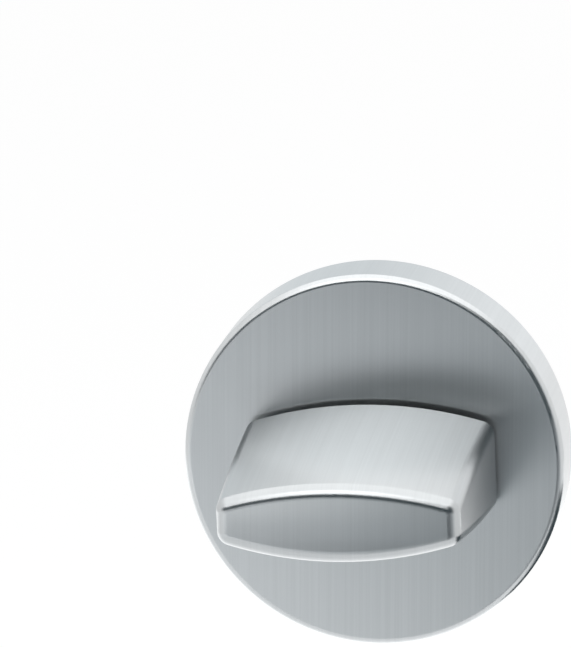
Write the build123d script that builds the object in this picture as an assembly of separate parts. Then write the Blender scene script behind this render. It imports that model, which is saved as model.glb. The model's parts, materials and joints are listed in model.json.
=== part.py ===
from build123d import *

import os
from math import cos, radians, sin, sqrt

# Bathroom thumbturn on a round rose, in millimetres.
# Every piece is drawn as seen from the room: X to the right, Y up, Z from the door towards the room.
# When a piece is saved it is turned upright, so that +Z is up and the room lies towards -Y.

# Cover rose: a stainless cup with a crisp front edge
rose_diameter = 55.0
rose_depth = 9.0
cover_wall = 1.2
cover_edge_radius = 1.0
cover_inner_chamfer = 0.3
pry_notch_width = 6.0
pry_notch_height = 0.9

# Turn knob: a lens-shaped thumb piece, tall at the rose and slim at its front
knob_width = 36.0
knob_front_width = 34.2
knob_height = 18.0
knob_front_height = 10.8
knob_end_height = 12.3
knob_projection = 32.0
knob_depth_bulge = 0.45
knob_front_bulge = 0.4
knob_front_dish = 0.3
knob_corner_radius = 2.05
knob_front_radius = 1.8
knob_base_chamfer = 0.1
neck_wall = 0.9
neck_flat_depth = 0.8
neck_end_land = 0.7

# Spindle: square bar to the lock's follower, and the screw that holds it in the knob
spindle_size = 8.0
spindle_reach = 50.0
spindle_socket_depth = 16.0
spindle_corner_radius = 0.5
spindle_end_chamfer = 0.8
set_screw_diameter = 5.0
set_screw_offset = 7.0
set_screw_recess = 0.6
set_screw_key = 2.5
set_screw_key_depth = 2.0

# Bearing bush: its flange keeps the knob off the rose
bush_wall = 0.6
bush_flange_width = 0.6
bush_flange_thickness = 1.7

# Index and stop: a notched cam turns between two leaf springs, and its pin runs in a quarter-turn slot
turn_angle = 90.0
cam_width = 3.8
cam_thickness = 1.2
stop_pin_diameter = 1.6
stop_pin_angle = 45.0
stop_slot_wall = 0.8
leaf_thickness = 0.35
leaf_gap = 0.15
leaf_nose_half_width = 2.0
leaf_nose_depth = 0.9
leaf_end_play = 0.6
guide_thickness = 1.6
guide_margin = 3.4
guide_tab_width = 5.0
guide_tab_length = 1.6
leaf_post_width = 2.4
leaf_post_jaw = 0.9

# Axial hold: bowed washer and retaining ring on the neck
washer_sheet = 0.3
washer_bow = 0.5
washer_width = 1.9
ring_thickness = 1.0
ring_groove_depth = 0.35
ring_section = 1.7
ring_taper = 0.4
ring_lug_radius = 1.2
ring_lug_hole_radius = 0.6
ring_lug_angle = 20.0
ring_gap_width = 3.2

# Under-rose: ribbed moulding on the door
under_web = 2.2
under_rim_height = 6.6
under_rim_wall = 1.3
under_collar_height = 7.4
under_collar_wall = 1.0
under_rib_height = 4.6
under_rib_thickness = 1.1
under_rib_count = 12

# Cover clips: bent spring steel over the under-rose's rim
clip_sheet = 0.3
clip_width = 5.0
clip_angles = (90.0, 210.0, 330.0)
clip_foot_height = 0.4
clip_bend_radius = 0.35

# Fixing screws
screw_spacing = 38.0
screw_diameter = 4.0
screw_shank_diameter = 2.9
screw_thread_start = 0.6
screw_thread_runout = 0.8
screw_length = 30.0
screw_head_diameter = 7.4
screw_head_land = 0.3
screw_tip_length = 5.0
screw_tip_radius = 0.3
screw_recess_width = 0.9
screw_recess_length = 4.4
screw_recess_depth = 1.3
screw_recess_taper = 10.0
screw_boss_wall = 1.2
screw_boss_height = 4.4

# Clearances
running_clearance = 0.05
axial_clearance = 0.1
seat_clearance = 0.05
thread_clearance = 0.02
stop_clearance = 0.1
snap_clearance = 0.5
drop_in_clearance = 0.3
screw_hole_clearance = 0.2
overcut = 1.0

# Levels above the door
cover_inside = rose_depth - cover_wall
knob_base = rose_depth + bush_flange_thickness + axial_clearance
knob_front = rose_depth + knob_projection
guide_back = cover_inside - guide_thickness
cam_front = guide_back - axial_clearance
cam_back = cam_front - cam_thickness
ring_front = cam_back - washer_sheet - washer_bow
ring_back = ring_front - ring_thickness
neck_end = ring_back - neck_end_land

# Radii about the turning axis
rose_radius = rose_diameter / 2
cover_bore = rose_radius - cover_wall
socket_half = spindle_size / 2 + seat_clearance
neck_radius = spindle_size / 2 * sqrt(2) + neck_wall
neck_flat = neck_radius - neck_flat_depth
groove_radius = neck_radius - ring_groove_depth
bush_bore = neck_radius + running_clearance
bush_radius = bush_bore + bush_wall
bush_flange_radius = bush_radius + bush_flange_width
guide_bore = bush_radius + seat_clearance
cam_radius = neck_radius + cam_width
stop_slot_half = stop_pin_diameter / 2 + stop_clearance
stop_pin_path = guide_bore + stop_slot_wall + stop_slot_half
leaf_line = cam_radius + leaf_gap + leaf_thickness / 2
leaf_nose_radius = (leaf_nose_half_width**2 + leaf_nose_depth**2) / (2 * leaf_nose_depth)
guide_radius = cam_radius + guide_margin
under_opening = guide_radius + drop_in_clearance
under_collar = under_opening + under_collar_wall
under_radius = cover_bore - snap_clearance
under_rim_inner = under_radius - under_rim_wall
screw_radius = screw_diameter / 2
screw_shank_radius = screw_shank_diameter / 2
screw_head_radius = screw_head_diameter / 2

UPRIGHT = Rot(90, 0, 0)


def at_level(z):
    """Place for a sketch that lies parallel to the door at a given level."""
    return Plane.XY.offset(z)


def disc(radius, bottom, top):
    """Round solid about the turning axis between two levels."""
    return extrude(at_level(bottom) * Circle(radius), top - bottom)


def tube(outer, inner, bottom, top):
    """Round solid with a bore right through it."""
    return extrude(at_level(bottom) * (Circle(outer) - Circle(inner)), top - bottom)


def arc_radius(half_chord, rise):
    """Radius of the arc over a chord with a given rise."""
    return (half_chord**2 + rise**2) / (2 * rise)


def polar(radius, angle):
    """Point in the drawing plane at a radius and an angle from +X."""
    return (radius * cos(radians(angle)), radius * sin(radians(angle)))


def cover_rose():
    cup = disc(rose_radius, 0, rose_depth)
    cup = fillet(cup.edges().group_by(Axis.Z)[-1], cover_edge_radius)
    hollow = disc(cover_bore, -overcut, cover_inside)
    hollow = chamfer(hollow.edges().group_by(Axis.Z)[-1], cover_inner_chamfer)
    bush_hole = disc(bush_radius + seat_clearance, 0, rose_depth + overcut)
    notch = Pos(0, -rose_radius, 0) * Box(pry_notch_width, 2 * (cover_wall + overcut), 2 * pry_notch_height)
    return cup - hollow - bush_hole - notch


def bearing_bush():
    sleeve = tube(bush_radius, bush_bore, guide_back, rose_depth)
    return sleeve + tube(bush_flange_radius, bush_bore, rose_depth, knob_base - axial_clearance)


def knob_half_height(level):
    """Half the knob's height in its middle: a straight taper with a soft bulge."""
    share = (level - knob_base) / (knob_front - knob_base)
    taper = knob_height + (knob_front_height - knob_height) * share
    return taper / 2 + 4 * knob_depth_bulge * share * (1 - share)


def knob_section(level):
    """Lens outline parallel to the door: two arcs about far axes, flat ends and round corners."""
    share = (level - knob_base) / (knob_front - knob_base)
    half_width = (knob_width + (knob_front_width - knob_width) * share) / 2
    half_height = knob_half_height(level)
    drop = (knob_height - knob_end_height) / 2
    arch_centre = arc_radius(knob_width / 2, drop) - knob_height / 2
    half_end = sqrt((half_height + arch_centre) ** 2 - half_width**2) - arch_centre
    outline = [
        ThreePointArc((-half_width, half_end), (0, half_height), (half_width, half_end)),
        Line((half_width, half_end), (half_width, -half_end)),
        ThreePointArc((half_width, -half_end), (0, -half_height), (-half_width, -half_end)),
        Line((-half_width, -half_end), (-half_width, half_end)),
    ]
    lens = make_face(outline)
    return at_level(level) * fillet(lens.vertices(), knob_corner_radius)


def front_form():
    """Wheel whose rim is the knob's front face: bowed from side to side, dished from top to bottom."""
    bow_radius = arc_radius(knob_front_width / 2, knob_front_bulge)
    dish_radius = arc_radius(knob_front_height / 2, knob_front_dish)
    edge_radius = bow_radius + dish_radius - sqrt(dish_radius**2 - knob_height**2)
    rim = ThreePointArc((edge_radius, -knob_height), (bow_radius, 0), (edge_radius, knob_height))
    corners = [(edge_radius, knob_height), (0, knob_height), (0, -knob_height), (edge_radius, -knob_height)]
    wheel = revolve(make_face([rim, Polyline(*corners)]), Axis.Y)
    return Pos(0, 0, knob_front - knob_front_dish - bow_radius) * wheel


def thumb_piece():
    """Loft from a short eased foot to the shaped front, with a soft front edge."""
    foot_top = knob_base + knob_base_chamfer
    middle = (knob_base + knob_front) / 2
    body = loft([knob_section(level) for level in (foot_top, middle, knob_front + knob_front_dish)])
    body &= front_form()
    body = fillet(body.faces().sort_by(Axis.Z)[-1].edges(), knob_front_radius)
    foot_outline = offset(knob_section(knob_base), -knob_base_chamfer)
    return body + loft([foot_outline, knob_section(foot_top)], ruled=True)


def set_screw_end():
    """How far below the axis the set screw ends, just inside the knob's underside."""
    return knob_half_height(knob_base + set_screw_offset) - set_screw_recess


def across(radius, start, end, level):
    """Round solid along Y, between two distances below the axis."""
    return extrude(Plane.XZ.offset(start) * Pos(0, level) * Circle(radius), end - start)


def turn_knob():
    neck = disc(neck_radius, neck_end, knob_base + overcut)
    flat_height = cam_front - neck_end + 2 * overcut
    for side in (-1, 1):
        flat_centre = Pos(side * (neck_flat + neck_radius), 0, cam_front - flat_height / 2)
        neck -= flat_centre * Box(2 * neck_radius, 4 * neck_radius, flat_height)
    neck -= tube(neck_radius + overcut, groove_radius, ring_back - axial_clearance, ring_front)
    socket_top = knob_base + spindle_socket_depth + seat_clearance
    socket = extrude(
        at_level(neck_end - overcut) * Rectangle(2 * socket_half, 2 * socket_half),
        socket_top - neck_end + overcut,
    )
    screw_level = knob_base + set_screw_offset
    screw_hole = across(set_screw_diameter / 2 + thread_clearance, 0, knob_height, screw_level)
    return thumb_piece() + neck - socket - screw_hole


def spindle():
    front = knob_base + spindle_socket_depth
    bar = extrude(at_level(-spindle_reach) * Rectangle(spindle_size, spindle_size), front + spindle_reach)
    bar = chamfer(bar.faces().sort_by(Axis.Z)[0].edges(), spindle_end_chamfer)
    return fillet(bar.edges().filter_by(Axis.Z), spindle_corner_radius)


def set_screw():
    level = knob_base + set_screw_offset
    end = set_screw_end()
    body = across(set_screw_diameter / 2, spindle_size / 2, end, level)
    key_radius = set_screw_key / sqrt(3)
    key_place = Plane.XZ.offset(end) * Pos(0, level)
    return body - extrude(key_place * RegularPolygon(key_radius, 6), -set_screw_key_depth)


def nose_centre():
    """Centre of the leaf spring's rounded nose, above the cam."""
    return leaf_line - leaf_nose_depth + leaf_nose_radius


def index_cam():
    flats = Rectangle(2 * (neck_flat + seat_clearance), 4 * neck_radius)
    neck_hole = Circle(neck_radius + seat_clearance) & flats
    notch = Circle(leaf_nose_radius + leaf_thickness / 2 + stop_clearance)
    notches = PolarLocations(nose_centre(), 4) * notch
    pin_hole = Pos(*polar(stop_pin_path, stop_pin_angle)) * Circle(stop_pin_diameter / 2 + thread_clearance)
    outline = Circle(cam_radius) - notches - neck_hole - pin_hole
    return extrude(at_level(cam_back) * outline, cam_thickness)


def stop_pin():
    place = at_level(cam_back) * Pos(*polar(stop_pin_path, stop_pin_angle))
    return extrude(place * Circle(stop_pin_diameter / 2), cover_inside - axial_clearance - cam_back)


def leaf_half_length():
    """Reach of a leaf spring to each side, inside the guide plate's edge."""
    return sqrt(guide_radius**2 - leaf_line**2) - leaf_end_play


def index_spring():
    reach = leaf_half_length()
    bend = leaf_nose_half_width
    left = Line((-reach, leaf_line), (-bend, leaf_line))
    nose = ThreePointArc((-bend, leaf_line), (0, leaf_line - leaf_nose_depth), (bend, leaf_line))
    right = Line((bend, leaf_line), (reach, leaf_line))
    strip = trace([left, nose, right], leaf_thickness)
    return extrude(at_level(cam_back) * strip, cam_thickness)


def leaf_posts():
    """Two slotted posts for each leaf spring, on the guide plate's back."""
    post_depth = leaf_thickness + 2 * (leaf_post_jaw + seat_clearance)
    post_place = leaf_half_length() - leaf_post_width / 2
    slit = Rectangle(2 * guide_radius, leaf_thickness + 2 * seat_clearance)
    post = Rectangle(leaf_post_width, post_depth)
    posts = Pos(-post_place, 0) * post + Pos(post_place, 0) * post
    posts = Pos(0, leaf_line) * (posts - slit)
    posts = (posts + mirror(posts, Plane.XZ)) & Circle(guide_radius)
    return extrude(at_level(cam_back) * posts, guide_back - cam_back)


def guide_plate():
    tabs = Rectangle(guide_tab_width, 2 * (guide_radius + guide_tab_length))
    path = CenterArc((0, 0), stop_pin_path, stop_pin_angle - turn_angle, turn_angle)
    slot = SlotArc(path, 2 * stop_slot_half)
    outline = Circle(guide_radius) + tabs - Circle(guide_bore) - slot
    return extrude(at_level(guide_back) * outline, guide_thickness) + leaf_posts()


def spring_washer():
    """Ring cut from a cylindrical sheet, bowed towards the cam."""
    inner = neck_radius + axial_clearance
    outer = neck_radius + washer_width
    bow_radius = arc_radius(outer, washer_bow)
    section = Circle(bow_radius) - Circle(bow_radius - washer_sheet)
    sheet = extrude(Plane.XZ * Pos(0, cam_back - bow_radius) * section, 2 * outer, both=True)
    return tube(outer, inner, ring_front - overcut, cam_front) & sheet


def retaining_ring():
    """Open ring, widest opposite its gap, with an eyelet at each end."""
    inner = groove_radius + thread_clearance
    body = Pos(0, -ring_taper) * Circle(inner + ring_section)
    lug_path = inner + ring_section - ring_taper / 2
    eyelets = [Pos(*polar(lug_path, 90 + side * ring_lug_angle)) for side in (-1, 1)]
    for eyelet in eyelets:
        body += eyelet * Circle(ring_lug_radius)
    for eyelet in eyelets:
        body -= eyelet * Circle(ring_lug_hole_radius)
    gap_reach = 2 * lug_path
    gap = Pos(0, gap_reach / 2) * Rectangle(ring_gap_width, gap_reach)
    return extrude(at_level(ring_back) * (body - Circle(inner) - gap), ring_thickness)


def screw_places():
    return [Pos(side * screw_spacing / 2, 0, 0) for side in (-1, 1)]


def screw_head(grow, top):
    """Countersunk head, drawn larger by a clearance when it is used as a cutter."""
    cone_depth = screw_head_radius - screw_shank_radius
    land = screw_boss_height - screw_head_land - grow
    outline = Polyline(
        (0, top),
        (screw_head_radius + grow, top),
        (screw_head_radius + grow, land),
        (screw_shank_radius + grow, land - cone_depth),
        (0, land - cone_depth),
        close=True,
    )
    return revolve(Plane.XZ * make_face(outline), Axis.Z)


def fixing_screw():
    """Wood screw: slim shank through the under-rose, full thread diameter behind the door's face."""
    tip = screw_boss_height - screw_length
    thread_end = tip + screw_tip_length
    shank = Polyline(
        (0, screw_boss_height - screw_head_land),
        (screw_shank_radius, screw_boss_height - screw_head_land),
        (screw_shank_radius, -screw_thread_start),
        (screw_radius, -screw_thread_start - screw_thread_runout),
        (screw_radius, thread_end),
        (screw_tip_radius, tip),
        (0, tip),
        close=True,
    )
    screw = screw_head(0, screw_boss_height) + revolve(Plane.XZ * make_face(shank), Axis.Z)
    slot = Rectangle(screw_recess_length, screw_recess_width)
    cross = at_level(screw_boss_height) * (slot + Rot(0, 0, 90) * slot)
    return screw - extrude(cross, -screw_recess_depth, taper=screw_recess_taper)


def clip_recess():
    """Pocket in the outside of the under-rose's rim for the spring leg of a clip."""
    depth = clip_sheet + seat_clearance
    size = (2 * depth, clip_width + 2 * seat_clearance, 4 * under_rim_height)
    return Pos(under_radius, 0, 0) * Box(*size)


def flat_reach(bore):
    """How far out a flat strip as wide as a clip can stand inside a bore."""
    return sqrt(bore**2 - (clip_width / 2) ** 2)


def cover_clip():
    """Strip bent over the rim: a plain leg inside it, a sprung leg that bears on the cover outside it."""
    half = clip_sheet / 2
    inner_leg = flat_reach(under_rim_inner) - seat_clearance - half
    outer_leg = under_radius - half
    crest = flat_reach(cover_bore) - seat_clearance - half
    top = under_rim_height + seat_clearance + half
    belly = under_rim_height / 2
    foot = clip_foot_height
    hoop = FilletPolyline(
        (inner_leg, under_web + seat_clearance),
        (inner_leg, top),
        (outer_leg, top),
        (outer_leg, 2 * belly - foot),
        radius=clip_bend_radius,
    )
    spring_leg = ThreePointArc((outer_leg, 2 * belly - foot), (crest, belly), (outer_leg, foot))
    return extrude(Plane.XZ * trace([hoop, spring_leg], clip_sheet), clip_width / 2, both=True)


def under_rose():
    body = tube(under_radius, under_opening, 0, under_web)
    body += tube(under_radius, under_rim_inner, 0, under_rim_height)
    body += tube(under_collar, under_opening, 0, under_collar_height)
    rib_start = (under_collar + under_opening) / 2
    rib_end = (under_radius + under_rim_inner) / 2
    rib = Pos((rib_start + rib_end) / 2, 0, under_rib_height / 2) * Box(
        rib_end - rib_start, under_rib_thickness, under_rib_height
    )
    first_rib = 180 / under_rib_count
    body += [Rot(0, 0, first_rib + 360 / under_rib_count * i) * rib for i in range(under_rib_count)]
    boss = disc(screw_head_radius + screw_boss_wall, 0, screw_boss_height)
    body += [place * boss for place in screw_places()]
    body -= disc(under_opening, -overcut, under_collar_height + overcut)
    body -= [place * screw_head(seat_clearance, under_collar_height + overcut) for place in screw_places()]
    hole = disc(screw_radius + screw_hole_clearance, -overcut, screw_boss_height)
    body -= [place * hole for place in screw_places()]
    tab_notch = Box(
        guide_tab_width + 2 * seat_clearance,
        2 * (guide_radius + guide_tab_length + drop_in_clearance),
        2 * (under_collar_height - guide_back + seat_clearance),
    )
    body -= Pos(0, 0, under_collar_height) * tab_notch
    return body - [Rot(0, 0, angle) * clip_recess() for angle in clip_angles]


def save(name, shape):
    export_step(UPRIGHT * shape, f"parts/{name}.step")


os.makedirs("parts", exist_ok=True)
save("cover_rose", cover_rose())
save("bearing_bush", bearing_bush())
save("guide_plate", guide_plate())
save("index_spring_upper", index_spring())
save("index_spring_lower", Rot(0, 0, 180) * index_spring())
save("under_rose", under_rose())
for number, angle in enumerate(clip_angles, start=1):
    save(f"cover_clip_{number}", Rot(0, 0, angle) * cover_clip())
save("fixing_screws", Compound([place * fixing_screw() for place in screw_places()]))
save("turn_knob", turn_knob())
save("spindle", spindle())
save("set_screw", set_screw())
save("index_cam", index_cam())
save("stop_pin", stop_pin())
save("spring_washer", spring_washer())
save("retaining_ring", retaining_ring())
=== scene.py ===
"""Looks of the bathroom thumbturn: finishes, screw threads, studio and camera. All lengths are in metres."""
import json
import math

import bmesh
import bpy
from mathutils import Matrix, Vector


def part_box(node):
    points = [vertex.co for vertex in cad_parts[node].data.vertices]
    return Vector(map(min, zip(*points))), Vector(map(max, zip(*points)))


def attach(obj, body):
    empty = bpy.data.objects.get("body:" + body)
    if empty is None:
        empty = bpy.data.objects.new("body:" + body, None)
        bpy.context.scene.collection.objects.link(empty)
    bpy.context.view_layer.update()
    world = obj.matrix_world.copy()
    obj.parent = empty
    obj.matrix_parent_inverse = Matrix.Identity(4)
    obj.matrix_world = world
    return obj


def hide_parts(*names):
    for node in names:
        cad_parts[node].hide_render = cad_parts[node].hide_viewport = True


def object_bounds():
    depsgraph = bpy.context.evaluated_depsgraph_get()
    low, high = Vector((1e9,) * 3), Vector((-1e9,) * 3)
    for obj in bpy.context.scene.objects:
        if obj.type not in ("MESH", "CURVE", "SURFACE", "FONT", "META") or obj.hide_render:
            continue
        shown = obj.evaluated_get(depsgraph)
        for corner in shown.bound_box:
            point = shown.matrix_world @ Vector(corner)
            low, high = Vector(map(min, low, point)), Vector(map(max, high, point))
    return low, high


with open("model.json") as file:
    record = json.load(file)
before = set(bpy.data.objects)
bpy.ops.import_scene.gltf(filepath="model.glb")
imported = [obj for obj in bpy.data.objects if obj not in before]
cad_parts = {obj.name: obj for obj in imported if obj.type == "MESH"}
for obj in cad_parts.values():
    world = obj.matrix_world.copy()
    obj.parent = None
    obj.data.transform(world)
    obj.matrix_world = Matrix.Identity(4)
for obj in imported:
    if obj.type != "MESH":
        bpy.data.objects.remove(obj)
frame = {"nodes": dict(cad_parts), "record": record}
bpy.context.view_layer.update()
CAD_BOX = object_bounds()


# Node helpers

def add_node(tree, kind, values=None, **settings):
    """Add a node, set its properties, then its input values by name or number."""
    node = tree.nodes.new(kind)
    for key, value in settings.items():
        setattr(node, key, value)
    for key, value in (values or {}).items():
        node.inputs[key].default_value = value
    return node


def object_coords(tree):
    return add_node(tree, "ShaderNodeTexCoord").outputs["Object"]


def combine(tree, operation, first, second=0.0):
    """Arithmetic on two values, each a number or another node's output."""
    node = add_node(tree, "ShaderNodeMath", operation=operation)
    for socket, value in zip(node.inputs, (first, second)):
        if isinstance(value, (int, float)):
            socket.default_value = value
        else:
            tree.links.new(value, socket)
    return node.outputs["Value"]


def remap(tree, value, low, high, to_low, to_high):
    node = add_node(
        tree,
        "ShaderNodeMapRange",
        {"From Min": low, "From Max": high, "To Min": to_low, "To Max": to_high},
    )
    tree.links.new(value, node.inputs["Value"])
    return node.outputs["Result"]


def tint(tree, factor, dark, light):
    """Colour between two tones by a factor."""
    node = add_node(tree, "ShaderNodeMix", data_type="RGBA")
    colours = [socket for socket in node.inputs if socket.type == "RGBA"]
    for socket, tone in zip(colours, (dark, light)):
        socket.default_value = (*tone, 1.0)
    tree.links.new(factor, node.inputs["Factor"])
    return next(socket for socket in node.outputs if socket.type == "RGBA")


def empty_material(name):
    """Material with nothing but its output node."""
    material = bpy.data.materials.new(name)
    material.use_nodes = True
    tree = material.node_tree
    tree.nodes.clear()
    return material, tree, tree.nodes.new("ShaderNodeOutputMaterial")


def surface_material(name):
    """Material with one surface shader."""
    material, tree, output = empty_material(name)
    shader = tree.nodes.new("ShaderNodeBsdfPrincipled")
    tree.links.new(shader.outputs["BSDF"], output.inputs["Surface"])
    return material, tree, shader


# Finishes: noise frequencies are per metre, along each axis of the part

NOISE_LOW = 0.3
NOISE_HIGH = 0.7

BRUSH_LEAN = math.radians(2.6)
FINE_BRUSH_FREQUENCY = (3600.0, 26.0, 26.0)
COARSE_BRUSH_FREQUENCY = (1100.0, 14.0, 14.0)
BRUSH_CLOUD_FREQUENCY = (60.0, 40.0, 40.0)
FINE_BRUSH_SHARE = 0.6
BRUSH_TONE_SHARE = 0.75
BRUSH_GLOSS_CHANGE = 0.008

MOTTLE_FREQUENCY = (180.0, 180.0, 180.0)
SKIN_FREQUENCY = (4200.0, 4200.0, 4200.0)
SKIN_GLOSS_CHANGE = 0.06
SKIN_STRENGTH = 0.25
SKIN_HEIGHT = 0.00002

DRAWN_CLOUD_FREQUENCY = (240.0, 240.0, 240.0)
DRAWN_TONE_SHARE = 0.6
DRAWN_GLOSS_DROP = 0.06
DRAWN_GLOSS_RISE = 0.08
DRAWN_LINE_HEIGHT = 0.00001


def stretched_noise(tree, coords, frequency, detail=3.0, roughness=0.55):
    """Noise with its own frequency along each axis, given as numbers or as another node's output."""
    mapping = add_node(tree, "ShaderNodeMapping")
    if isinstance(frequency, tuple):
        mapping.inputs["Scale"].default_value = frequency
    else:
        tree.links.new(frequency, mapping.inputs["Scale"])
    noise = add_node(
        tree, "ShaderNodeTexNoise", {"Scale": 1.0, "Detail": detail, "Roughness": roughness}
    )
    tree.links.new(coords, mapping.inputs["Vector"])
    tree.links.new(mapping.outputs["Vector"], noise.inputs["Vector"])
    return noise.outputs["Fac"]


def from_noise(tree, noise, low, high):
    """Spread the noise's middle range from low to high."""
    return remap(tree, noise, NOISE_LOW, NOISE_HIGH, low, high)


def mixed_tone(tree, lines, cloud, line_share):
    """Tone from 0 to 1, partly from the lines and partly from the cloud."""
    line_part = from_noise(tree, lines, 0.0, line_share)
    cloud_part = from_noise(tree, cloud, 0.0, 1.0 - line_share)
    return combine(tree, "ADD", line_part, cloud_part)


def bump(tree, height, strength, distance):
    node = add_node(tree, "ShaderNodeBump", {"Strength": strength, "Distance": distance})
    tree.links.new(height, node.inputs["Height"])
    return node.outputs["Normal"]


def effect_group(name, inputs, outputs):
    """Empty node group with vector inputs and value outputs."""
    group = bpy.data.node_groups.new(name, "ShaderNodeTree")
    for socket in inputs:
        group.interface.new_socket(socket, in_out="INPUT", socket_type="NodeSocketVector")
    for socket in outputs:
        group.interface.new_socket(socket, in_out="OUTPUT", socket_type="NodeSocketFloat")
    given = group.nodes.new("NodeGroupInput").outputs
    result = group.nodes.new("NodeGroupOutput").inputs
    return group, given, result


def brushed_lines_group():
    """Fine lines of a brushed surface: varied across X, drawn out along the brushing direction."""
    group, given, result = effect_group("brushed_lines", ["Vector"], ["Lines", "Cloud"])
    fine = stretched_noise(group, given["Vector"], FINE_BRUSH_FREQUENCY, detail=1.0)
    coarse = stretched_noise(group, given["Vector"], COARSE_BRUSH_FREQUENCY, detail=1.0)
    fine_part = combine(group, "MULTIPLY", fine, FINE_BRUSH_SHARE)
    coarse_part = combine(group, "MULTIPLY", coarse, 1.0 - FINE_BRUSH_SHARE)
    group.links.new(combine(group, "ADD", fine_part, coarse_part), result["Lines"])
    cloud = stretched_noise(group, given["Vector"], BRUSH_CLOUD_FREQUENCY)
    group.links.new(cloud, result["Cloud"])
    return group


def moulded_skin_group():
    """Faint flow mottle and fine spark-eroded skin of a moulding."""
    group, given, result = effect_group("moulded_skin", ["Vector"], ["Mottle", "Skin"])
    mottle = stretched_noise(group, given["Vector"], MOTTLE_FREQUENCY, detail=4.0)
    skin = stretched_noise(group, given["Vector"], SKIN_FREQUENCY, detail=2.0)
    group.links.new(mottle, result["Mottle"])
    group.links.new(skin, result["Skin"])
    return group


def drawn_lines_group():
    """Lines along a metal's drawing or rolling direction, and a soft cloudy tone."""
    group, given, result = effect_group("drawn_lines", ["Vector", "Frequency"], ["Lines", "Cloud"])
    lines = stretched_noise(group, given["Vector"], given["Frequency"])
    cloud = stretched_noise(group, given["Vector"], DRAWN_CLOUD_FREQUENCY)
    group.links.new(lines, result["Lines"])
    group.links.new(cloud, result["Cloud"])
    return group


BRUSHED_LINES = brushed_lines_group()
MOULDED_SKIN = moulded_skin_group()
DRAWN_LINES = drawn_lines_group()


def place_group(tree, group, coords, values=None):
    node = add_node(tree, "ShaderNodeGroup", values, node_tree=group)
    tree.links.new(coords, node.inputs["Vector"])
    return node.outputs


def satin_stainless(name, dark, light, roughness, spread):
    """Stainless steel brushed from top to bottom; gloss spreads across the lines."""
    material, tree, shader = surface_material(name)
    leaning = add_node(tree, "ShaderNodeMapping", {"Rotation": (0.0, -BRUSH_LEAN, 0.0)})
    tree.links.new(object_coords(tree), leaning.inputs["Vector"])
    brush = place_group(tree, BRUSHED_LINES, leaning.outputs["Vector"])
    tone = mixed_tone(tree, brush["Lines"], brush["Cloud"], BRUSH_TONE_SHARE)
    dullest = roughness + BRUSH_GLOSS_CHANGE
    glossiest = roughness - BRUSH_GLOSS_CHANGE
    across = add_node(
        tree,
        "ShaderNodeVectorTransform",
        {"Vector": (math.cos(BRUSH_LEAN), 0.0, -math.sin(BRUSH_LEAN))},
        vector_type="VECTOR",
        convert_from="OBJECT",
        convert_to="WORLD",
    )
    tree.links.new(tint(tree, tone, dark, light), shader.inputs["Base Color"])
    tree.links.new(from_noise(tree, brush["Lines"], glossiest, dullest), shader.inputs["Roughness"])
    tree.links.new(across.outputs["Vector"], shader.inputs["Tangent"])
    shader.inputs["Metallic"].default_value = 1.0
    shader.inputs["Anisotropic"].default_value = spread
    return material


def moulded_plastic(name, dark, light, roughness):
    """Moulded polymer, mottled and matt."""
    material, tree, shader = surface_material(name)
    moulding = place_group(tree, MOULDED_SKIN, object_coords(tree))
    tone = from_noise(tree, moulding["Mottle"], 0.0, 1.0)
    dullest = roughness + SKIN_GLOSS_CHANGE
    glossiest = roughness - SKIN_GLOSS_CHANGE
    tree.links.new(tint(tree, tone, dark, light), shader.inputs["Base Color"])
    tree.links.new(from_noise(tree, moulding["Skin"], glossiest, dullest), shader.inputs["Roughness"])
    tree.links.new(bump(tree, moulding["Skin"], SKIN_STRENGTH, SKIN_HEIGHT), shader.inputs["Normal"])
    return material


def drawn_metal(name, dark, light, roughness, frequency, strength=0.15):
    """Bare or plated metal with the lines of its making."""
    material, tree, shader = surface_material(name)
    metal = place_group(tree, DRAWN_LINES, object_coords(tree), {"Frequency": frequency})
    tone = mixed_tone(tree, metal["Lines"], metal["Cloud"], DRAWN_TONE_SHARE)
    dullest = roughness + DRAWN_GLOSS_RISE
    glossiest = roughness - DRAWN_GLOSS_DROP
    tree.links.new(tint(tree, tone, dark, light), shader.inputs["Base Color"])
    tree.links.new(from_noise(tree, metal["Lines"], glossiest, dullest), shader.inputs["Roughness"])
    tree.links.new(bump(tree, metal["Lines"], strength, DRAWN_LINE_HEIGHT), shader.inputs["Normal"])
    shader.inputs["Metallic"].default_value = 1.0
    return material


FINISHES = {
    "satin_stainless": satin_stainless(
        "satin_stainless_rose",
        dark=(0.59, 0.61, 0.618),
        light=(0.65, 0.67, 0.678),
        roughness=0.285,
        spread=0.75,
    ),
    "black_acetal": moulded_plastic(
        "black_acetal_moulded",
        dark=(0.026, 0.027, 0.028),
        light=(0.036, 0.037, 0.038),
        roughness=0.42,
    ),
    "grey_polyamide": moulded_plastic(
        "grey_polyamide_moulded",
        dark=(0.10, 0.104, 0.108),
        light=(0.15, 0.155, 0.16),
        roughness=0.5,
    ),
    "spring_steel": drawn_metal(
        "spring_steel_rolled",
        dark=(0.40, 0.405, 0.41),
        light=(0.56, 0.565, 0.57),
        roughness=0.345,
        frequency=(900.0, 900.0, 60.0),
    ),
    "zinc_plate": drawn_metal(
        "zinc_plate_bright",
        dark=(0.45, 0.47, 0.49),
        light=(0.56, 0.575, 0.59),
        roughness=0.345,
        frequency=(1500.0, 35.0, 1500.0),
    ),
    "black_steel": drawn_metal(
        "black_oxide_steel",
        dark=(0.025, 0.026, 0.03),
        light=(0.05, 0.05, 0.055),
        roughness=0.36,
        frequency=(700.0, 700.0, 700.0),
    ),
    "sintered_steel": drawn_metal(
        "sintered_steel_porous",
        dark=(0.16, 0.16, 0.165),
        light=(0.3, 0.3, 0.3),
        roughness=0.5,
        frequency=(2600.0, 2600.0, 2600.0),
        strength=0.5,
    ),
}

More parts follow.
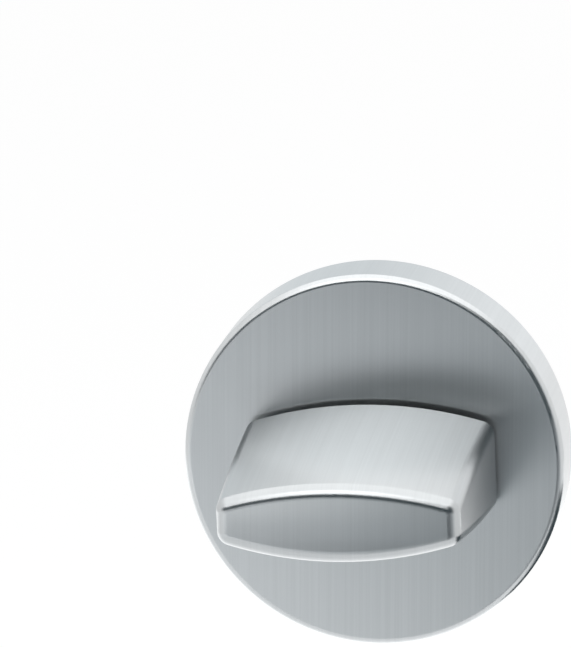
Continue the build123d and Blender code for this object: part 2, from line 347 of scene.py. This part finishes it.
KNOB_FINISH = satin_stainless(
    "satin_stainless_knob",
    dark=(0.505, 0.523, 0.53),
    light=(0.555, 0.575, 0.583),
    roughness=0.285,
    spread=0.65,
)


def dress_nodes():
    """Give every piece the finish of its material slot; the cast knob has its own."""
    for entry in frame["record"]["subparts"]:
        node = frame["nodes"][entry["node"]]
        finish = KNOB_FINISH if entry["node"] == "turn_knob" else FINISHES[entry["material_slot"]]
        for slot in node.material_slots:
            slot.material = finish


# Wood screw threads, as the screws are seen from behind the rose

SCREW_SPACING = 0.038
SCREW_CORE_RADIUS = 0.00145
SCREW_THREAD_RADIUS = 0.002
SCREW_PITCH = 0.0018
SCREW_RIDGE_WIDTH = 0.0009
SCREW_CUT = 0.0004
SCREW_THREAD_START = 0.0012
SCREW_POINT_LENGTH = 0.005
SCREW_POINT_TAPER = 0.12
THREAD_STEPS = 360
THREAD_RUN_IN = 0.04
ROUND_STEPS = 32
SHARP_EDGE = math.radians(35)


def turned_part(tree, shape, place):
    """Turn a shape's axis from Z to Y and move it along Y."""
    move = add_node(tree, "ShaderNodeCombineXYZ")
    tree.links.new(place, move.inputs["Y"])
    turn = add_node(tree, "GeometryNodeTransform", {"Rotation": (-math.pi / 2, 0.0, 0.0)})
    tree.links.new(shape, turn.inputs["Geometry"])
    tree.links.new(move.outputs["Vector"], turn.inputs["Translation"])
    return turn.outputs["Geometry"]


def thread_ridge(tree, given):
    """Ridge strip, three points across, wound round the core and tapered to the point."""
    strip = add_node(
        tree,
        "GeometryNodeMeshGrid",
        {"Size X": 1.0, "Size Y": 1.0, "Vertices X": THREAD_STEPS, "Vertices Y": 3},
    )
    spot = add_node(tree, "ShaderNodeSeparateXYZ")
    tree.links.new(add_node(tree, "GeometryNodeInputPosition").outputs["Position"], spot.inputs["Vector"])
    along = combine(tree, "ADD", spot.outputs["X"], 0.5)
    aside = spot.outputs["Y"]
    from_crest = combine(tree, "MULTIPLY", combine(tree, "ABSOLUTE", aside), 2.0)
    crest = combine(tree, "SUBTRACT", 1.0, from_crest)
    crest = combine(tree, "MULTIPLY", crest, remap(tree, along, 0.0, THREAD_RUN_IN, 0.0, 1.0))
    length = combine(tree, "SUBTRACT", given["Tip"], given["Start"])
    level = combine(tree, "ADD", given["Start"], combine(tree, "MULTIPLY", along, length))
    level = combine(tree, "ADD", level, combine(tree, "MULTIPLY", aside, given["Ridge Width"]))
    to_tip = combine(tree, "SUBTRACT", given["Tip"], level)
    point_length = combine(tree, "SUBTRACT", given["Tip"], given["Point Start"])
    point_share = combine(tree, "DIVIDE", to_tip, point_length)
    taper = remap(tree, point_share, 0.0, 1.0, SCREW_POINT_TAPER, 1.0)
    height = combine(tree, "SUBTRACT", given["Thread Radius"], given["Core Radius"])
    radius = combine(tree, "ADD", given["Core Radius"], combine(tree, "MULTIPLY", crest, height))
    radius = combine(tree, "MULTIPLY", radius, taper)
    turns = combine(tree, "DIVIDE", length, given["Pitch"])
    angle = combine(tree, "MULTIPLY", combine(tree, "MULTIPLY", along, turns), 2 * math.pi)
    place = add_node(tree, "ShaderNodeCombineXYZ")
    tree.links.new(combine(tree, "MULTIPLY", radius, combine(tree, "COSINE", angle)), place.inputs["X"])
    tree.links.new(level, place.inputs["Y"])
    tree.links.new(combine(tree, "MULTIPLY", radius, combine(tree, "SINE", angle)), place.inputs["Z"])
    wind = add_node(tree, "GeometryNodeSetPosition")
    tree.links.new(strip.outputs["Mesh"], wind.inputs["Geometry"])
    tree.links.new(place.outputs["Vector"], wind.inputs["Position"])
    return wind.outputs["Geometry"]


def screw_core(tree, given):
    """Plain core from the cut to the point, and the point's cone."""
    length = combine(tree, "SUBTRACT", given["Point Start"], given["Cut"])
    bar = add_node(tree, "GeometryNodeMeshCylinder", {"Vertices": ROUND_STEPS}, fill_type="NONE")
    tree.links.new(given["Core Radius"], bar.inputs["Radius"])
    tree.links.new(length, bar.inputs["Depth"])
    middle = combine(tree, "ADD", given["Cut"], combine(tree, "MULTIPLY", length, 0.5))
    cone = add_node(
        tree, "GeometryNodeMeshCone", {"Vertices": ROUND_STEPS, "Radius Top": 0.0}, fill_type="NONE"
    )
    tree.links.new(given["Core Radius"], cone.inputs["Radius Bottom"])
    tree.links.new(combine(tree, "SUBTRACT", given["Tip"], given["Point Start"]), cone.inputs["Depth"])
    return [
        turned_part(tree, bar.outputs["Mesh"], middle),
        turned_part(tree, cone.outputs["Mesh"], given["Point Start"]),
    ]


def pair_of(tree, shape, spacing):
    """Two copies of a shape, side by side about the axis."""
    first = add_node(tree, "ShaderNodeCombineXYZ")
    step = add_node(tree, "ShaderNodeCombineXYZ")
    tree.links.new(combine(tree, "MULTIPLY", spacing, -0.5), first.inputs["X"])
    tree.links.new(spacing, step.inputs["X"])
    places = add_node(tree, "GeometryNodeMeshLine", {"Count": 2})
    tree.links.new(first.outputs["Vector"], places.inputs["Start Location"])
    tree.links.new(step.outputs["Vector"], places.inputs["Offset"])
    copies = add_node(tree, "GeometryNodeInstanceOnPoints")
    tree.links.new(places.outputs["Mesh"], copies.inputs["Points"])
    tree.links.new(shape, copies.inputs["Instance"])
    return copies.outputs["Instances"]


def thread_tree(input_names):
    """Node tree that adds core, point and thread to the two screw heads it is given."""
    tree = bpy.data.node_groups.new("wood_screw_thread", "GeometryNodeTree")
    sockets = tree.interface
    sockets.new_socket("Geometry", in_out="INPUT", socket_type="NodeSocketGeometry")
    for name in input_names:
        sockets.new_socket(name, in_out="INPUT", socket_type="NodeSocketFloat")
    sockets.new_socket("Material", in_out="INPUT", socket_type="NodeSocketMaterial")
    sockets.new_socket("Geometry", in_out="OUTPUT", socket_type="NodeSocketGeometry")
    given = tree.nodes.new("NodeGroupInput").outputs
    screw = add_node(tree, "GeometryNodeJoinGeometry")
    for part in [thread_ridge(tree, given), *screw_core(tree, given)]:
        tree.links.new(part, screw.inputs["Geometry"])
    both = add_node(tree, "GeometryNodeJoinGeometry")
    tree.links.new(given["Geometry"], both.inputs["Geometry"])
    tree.links.new(pair_of(tree, screw.outputs["Geometry"], given["Spacing"]), both.inputs["Geometry"])
    plain = add_node(tree, "GeometryNodeRealizeInstances")
    finish = add_node(tree, "GeometryNodeSetMaterial")
    tree.links.new(both.outputs["Geometry"], plain.inputs["Geometry"])
    tree.links.new(plain.outputs["Geometry"], finish.inputs["Geometry"])
    tree.links.new(given["Material"], finish.inputs["Material"])
    end = tree.nodes.new("NodeGroupOutput")
    tree.links.new(finish.outputs["Geometry"], end.inputs["Geometry"])
    return tree


def screw_heads():
    """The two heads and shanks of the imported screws, cut off just behind the door's face."""
    node = frame["nodes"]["fixing_screws"]
    cut = bmesh.new()
    cut.from_mesh(node.data)
    cut.transform(node.matrix_world)
    bmesh.ops.bisect_plane(
        cut,
        geom=cut.verts[:] + cut.edges[:] + cut.faces[:],
        plane_co=(0, SCREW_CUT, 0),
        plane_no=(0, 1, 0),
        clear_outer=True,
    )
    mesh = bpy.data.meshes.new("screw_heads")
    cut.to_mesh(mesh)
    cut.free()
    if "custom_normal" in mesh.attributes:
        mesh.attributes.remove(mesh.attributes["custom_normal"])
    return mesh


def threaded_screws():
    """The two fixing screws with their thread, in place of the plain ones."""
    piece = bpy.data.objects.new("threaded_screws", screw_heads())
    bpy.context.scene.collection.objects.link(piece)
    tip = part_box("fixing_screws")[1].y
    values = {
        "Core Radius": SCREW_CORE_RADIUS,
        "Thread Radius": SCREW_THREAD_RADIUS,
        "Pitch": SCREW_PITCH,
        "Ridge Width": SCREW_RIDGE_WIDTH,
        "Cut": SCREW_CUT,
        "Start": SCREW_THREAD_START,
        "Point Start": tip - SCREW_POINT_LENGTH,
        "Tip": tip,
        "Spacing": SCREW_SPACING,
    }
    tree = thread_tree(list(values))
    modifier = piece.modifiers.new("thread", "NODES")
    modifier.node_group = tree
    values["Material"] = FINISHES["zinc_plate"]
    for item in tree.interface.items_tree:
        if item.in_out == "INPUT" and item.name in values:
            modifier[item.identifier] = values[item.name]
    view = bpy.context.evaluated_depsgraph_get()
    mesh = bpy.data.meshes.new_from_object(piece.evaluated_get(view))
    piece.modifiers.clear()
    piece.data = mesh
    mesh.shade_smooth()
    mesh.set_sharp_from_angle(angle=SHARP_EDGE)
    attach(piece, "rose")
    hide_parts("fixing_screws")


# Studio: a white room and floor, two soft lamps, and cards that the metal mirrors and the camera doesn't see

FLOOR_DROP = 0.22
FLOOR_SIZE = 5.0
FLOOR_GLOW = 0.9
FLOOR_ALBEDO = 0.15
SKY_AMBIENT = 0.55

# Front cards, upright across Y: places along X, and heights
FRONT_PLANE = -0.3
FRONT_LEFT = -0.35
FRONT_RIGHT = 0.45
FRONT_FOOT = -0.24
APRON_FOOT_LEFT = -0.045
APRON_TOP = -0.105
MIDDLE_LEFT = -0.055
MIDDLE_RIGHT = 0.02
HORIZON_FOOT = -0.045
HORIZON_LEFT_FOOT = -0.02
HORIZON_FOOT_SLOPE = (-0.08, -0.05)
HORIZON_LEFT_TOP = 0.11
HORIZON_RIGHT_TOP = 0.30
HORIZON_TOP_SLOPE = (0.06, 0.12)

# Floor cards, level under the object: places along X, and bands along Y from the front to the back
FLOOR_CARD_LEVEL = -0.21
FLOOR_CARD_LEFT = -0.7
FLOOR_CARD_RIGHT = 0.5
FAR_BAND = (-1.4, -0.64)
STRIP_BAND = (-0.64, -0.46)
NEAR_BAND = (-0.46, 0.6)

# Back card, upright behind the object, and side card, level beside the rose
BACK_PLANE = 0.5
BACK_SPAN = (-0.5, 0.4)
BACK_HEIGHTS = (0.0, 0.35)
SIDE_LEVEL = -0.04
SIDE_OUTLINE = [(0.026, -0.008), (0.04, -0.012), (0.045, -0.03), (0.1, -0.06), (0.1, 0.06), (0.026, 0.06)]

# Where a card's tone fades from its first to its last: along Z, X or Y
APRON_FADE = (-0.15, APRON_TOP)
MIDDLE_FADE = (-0.1, -0.05)
RIGHT_FADE = (0.1, 0.3)
FAR_FADE = (-1.1, -0.64)
STRIP_FADE = (-0.64, -0.56)
NEAR_FADE = (-0.1, 0.15)
BACK_FADE = (-0.1, 0.2)

# Tones of the cards
HORIZON_TONE = (0.015, 0.035, 0.045)
APRON_FOOT_TONE = (0.68, 0.72, 0.74)
APRON_TOP_TONE = (0.32, 0.37, 0.39)
MIDDLE_TOP_TONE = (0.54, 0.59, 0.62)
RIGHT_NEAR_TONE = (0.08, 0.09, 0.10)
RIGHT_FAR_TONE = (0.50, 0.53, 0.55)
FLOOR_FAR_TONE = (0.70, 0.72, 0.74)
FLOOR_MIDDLE_TONE = (0.84, 0.86, 0.88)
FLOOR_STRIP_TONE = (1.35, 1.36, 1.37)
FLOOR_NEAR_TONE = (1.0, 1.01, 1.02)
FLOOR_BACK_TONE = (1.6, 1.6, 1.6)
BACK_LEFT_TONE = (0.80, 0.84, 0.86)
BACK_RIGHT_TONE = (1.1, 1.11, 1.12)


def is_seen(tree):
    """1 for rays from the camera, from gloss and through glass, which all see the pale background."""
    path = add_node(tree, "ShaderNodeLightPath").outputs
    seen = combine(tree, "MAXIMUM", path["Is Camera Ray"], path["Is Glossy Ray"])
    return combine(tree, "MAXIMUM", seen, path["Is Transmission Ray"])


def make_world():
    world = bpy.data.worlds.new("white_studio")
    bpy.context.scene.world = world
    world.use_nodes = True
    tree = world.node_tree
    background = tree.nodes["Background"]
    background.inputs["Color"].default_value = (1.0, 1.0, 1.0, 1.0)
    strength = remap(tree, is_seen(tree), 0.0, 1.0, SKY_AMBIENT, 1.0)
    tree.links.new(strength, background.inputs["Strength"])


def stage_plane(name, corners, material):
    mesh = bpy.data.meshes.new(name)
    mesh.from_pydata(corners, [], [tuple(range(len(corners)))])
    mesh.materials.append(material)
    plane = bpy.data.objects.new(name, mesh)
    bpy.context.scene.collection.objects.link(plane)
    return plane


def rectangle(left, right, low, high):
    return [(left, low), (right, low), (right, high), (left, high)]


def upright(outline, plane):
    """Corners across Y, from an outline in X and Z."""
    return [(x, plane, z) for x, z in outline]


def level(outline, height):
    """Corners at one height, from an outline in X and Y."""
    return [(x, y, height) for x, y in outline]


def make_floor():
    """Pale paper that glows to white where it is seen; from below it is clear."""
    material, tree, output = empty_material("pale_floor")
    paper = add_node(tree, "ShaderNodeBsdfDiffuse", {"Color": (FLOOR_ALBEDO,) * 3 + (1.0,)})
    glow = add_node(tree, "ShaderNodeEmission")
    tree.links.new(combine(tree, "MULTIPLY", is_seen(tree), FLOOR_GLOW), glow.inputs["Strength"])
    above = tree.nodes.new("ShaderNodeAddShader")
    tree.links.new(paper.outputs["BSDF"], above.inputs[0])
    tree.links.new(glow.outputs["Emission"], above.inputs[1])
    below = tree.nodes.new("ShaderNodeBsdfTransparent")
    sides = tree.nodes.new("ShaderNodeMixShader")
    tree.links.new(add_node(tree, "ShaderNodeNewGeometry").outputs["Backfacing"], sides.inputs["Fac"])
    tree.links.new(above.outputs["Shader"], sides.inputs[1])
    tree.links.new(below.outputs["BSDF"], sides.inputs[2])
    tree.links.new(sides.outputs["Shader"], output.inputs["Surface"])
    half = FLOOR_SIZE / 2
    corners = level(rectangle(-half, half, -half, half), CAD_BOX[0].z - FLOOR_DROP)
    stage_plane("studio_floor", corners, material)


def softbox(name, location, target, size, radiance):
    """Rectangular lamp; its power follows from how bright its face looks."""
    lamp = bpy.data.lights.new(name, "AREA")
    lamp.shape = "RECTANGLE"
    lamp.size, lamp.size_y = size
    lamp.energy = radiance * math.pi * size[0] * size[1]
    box = bpy.data.objects.new(name, lamp)
    box.location = location
    box.rotation_mode = "QUATERNION"
    box.rotation_quaternion = (Vector(target) - Vector(location)).to_track_quat("-Z", "Y")
    box.visible_camera = False
    bpy.context.scene.collection.objects.link(box)


def reflection_card(name, corners, tones, axis=None, fade=None):
    """Card of one tone, or graded between two along X, Y or Z."""
    material, tree, output = empty_material(name)
    glow = add_node(tree, "ShaderNodeEmission", {"Color": (*tones[0], 1.0)})
    if axis:
        spot = add_node(tree, "ShaderNodeSeparateXYZ")
        tree.links.new(object_coords(tree), spot.inputs["Vector"])
        share = remap(tree, spot.outputs[axis], *fade, 0.0, 1.0)
        tree.links.new(tint(tree, share, *tones), glow.inputs["Color"])
    tree.links.new(glow.outputs["Emission"], output.inputs["Surface"])
    card = stage_plane(name, corners, material)
    card.visible_camera = False
    card.visible_shadow = False


def make_front_cards():
    """Dark horizon in front of the object, over paler cards that the faces mirror."""
    horizon = [
        (FRONT_LEFT, HORIZON_LEFT_FOOT),
        (HORIZON_FOOT_SLOPE[0], HORIZON_LEFT_FOOT),
        (HORIZON_FOOT_SLOPE[1], HORIZON_FOOT),
        (FRONT_RIGHT, HORIZON_FOOT),
        (FRONT_RIGHT, HORIZON_RIGHT_TOP),
        (HORIZON_TOP_SLOPE[1], HORIZON_RIGHT_TOP),
        (HORIZON_TOP_SLOPE[0], HORIZON_LEFT_TOP),
        (FRONT_LEFT, HORIZON_LEFT_TOP),
    ]
    apron = [
        (APRON_FOOT_LEFT, FRONT_FOOT),
        (MIDDLE_RIGHT, FRONT_FOOT),
        (MIDDLE_RIGHT, APRON_TOP),
        (MIDDLE_LEFT, APRON_TOP),
    ]
    middle = rectangle(MIDDLE_LEFT, MIDDLE_RIGHT, APRON_TOP, HORIZON_FOOT)
    right = rectangle(MIDDLE_RIGHT, FRONT_RIGHT, FRONT_FOOT, HORIZON_FOOT)
    reflection_card("horizon_card", upright(horizon, FRONT_PLANE), [HORIZON_TONE])
    reflection_card(
        "apron_card",
        upright(apron, FRONT_PLANE),
        [APRON_FOOT_TONE, APRON_TOP_TONE],
        axis="Z",
        fade=APRON_FADE,
    )
    reflection_card(
        "middle_card",
        upright(middle, FRONT_PLANE),
        [APRON_TOP_TONE, MIDDLE_TOP_TONE],
        axis="Z",
        fade=MIDDLE_FADE,
    )
    reflection_card(
        "right_card",
        upright(right, FRONT_PLANE),
        [RIGHT_NEAR_TONE, RIGHT_FAR_TONE],
        axis="X",
        fade=RIGHT_FADE,
    )


def floor_card(name, band, tones, fade):
    outline = rectangle(FLOOR_CARD_LEFT, FLOOR_CARD_RIGHT, *band)
    reflection_card(name, level(outline, FLOOR_CARD_LEVEL), tones, axis="Y", fade=fade)


def make_cards():
    make_front_cards()
    floor_card("floor_card", FAR_BAND, [FLOOR_FAR_TONE, FLOOR_MIDDLE_TONE], FAR_FADE)
    floor_card("floor_strip_card", STRIP_BAND, [FLOOR_MIDDLE_TONE, FLOOR_STRIP_TONE], STRIP_FADE)
    floor_card("near_floor_card", NEAR_BAND, [FLOOR_NEAR_TONE, FLOOR_BACK_TONE], NEAR_FADE)
    reflection_card(
        "back_card",
        upright(rectangle(*BACK_SPAN, *BACK_HEIGHTS), BACK_PLANE),
        [BACK_LEFT_TONE, BACK_RIGHT_TONE],
        axis="X",
        fade=BACK_FADE,
    )
    reflection_card("side_card", level(SIDE_OUTLINE, SIDE_LEVEL), [HORIZON_TONE])


def make_studio():
    make_world()
    make_floor()
    softbox(
        "overhead_softbox",
        location=(0.0, 0.06, 0.52),
        target=(0.0, 0.06, 0.0),
        size=(0.9, 1.2),
        radiance=0.56,
    )
    softbox(
        "front_left_softbox",
        location=(-0.1, -0.55, 0.36),
        target=(0.0, 0.0, 0.02),
        size=(0.36, 0.46),
        radiance=1.35,
    )
    make_cards()


# Camera: the photograph's frame, in pixels, and the view that fits the rose and the knob in it

FRAME_WIDTH = 571
FRAME_HEIGHT = 648
AXIS_PIXEL = (382.9, 444.5)
PIXELS_PER_METRE = 6925.0
VIEW_AZIMUTH = math.radians(10.7)
VIEW_ELEVATION = math.radians(14.6)
VIEW_ROLL = math.radians(2.65)
VIEW_DISTANCE = 0.9
SENSOR_WIDTH = 36.0


def make_camera():
    """Camera turned towards the rose, then moved aside until the axis falls on its pixel."""
    back = Vector(
        (
            math.sin(VIEW_AZIMUTH) * math.cos(VIEW_ELEVATION),
            -math.cos(VIEW_AZIMUTH) * math.cos(VIEW_ELEVATION),
            math.sin(VIEW_ELEVATION),
        )
    )
    level_right = Vector((0.0, 0.0, 1.0)).cross(back).normalized()
    level_up = back.cross(level_right)
    right = level_right * math.cos(VIEW_ROLL) - level_up * math.sin(VIEW_ROLL)
    up = level_right * math.sin(VIEW_ROLL) + level_up * math.cos(VIEW_ROLL)
    aside = (AXIS_PIXEL[0] - FRAME_WIDTH / 2) / PIXELS_PER_METRE
    below = (AXIS_PIXEL[1] - FRAME_HEIGHT / 2) / PIXELS_PER_METRE
    place = back * VIEW_DISTANCE - right * aside + up * below
    data = bpy.data.cameras.new("photo_camera")
    data.sensor_width = SENSOR_WIDTH
    data.lens = SENSOR_WIDTH * PIXELS_PER_METRE * VIEW_DISTANCE / FRAME_HEIGHT
    data.clip_start = VIEW_DISTANCE / 100
    data.clip_end = VIEW_DISTANCE * 20
    camera = bpy.data.objects.new("photo_camera", data)
    camera.matrix_world = Matrix.Translation(place) @ Matrix((right, up, back)).transposed().to_4x4()
    bpy.context.scene.collection.objects.link(camera)
    bpy.context.scene.camera = camera


dress_nodes()
threaded_screws()
make_studio()
make_camera()
bpy.context.scene.view_settings.view_transform = "Standard"

bpy.context.view_layer.update()
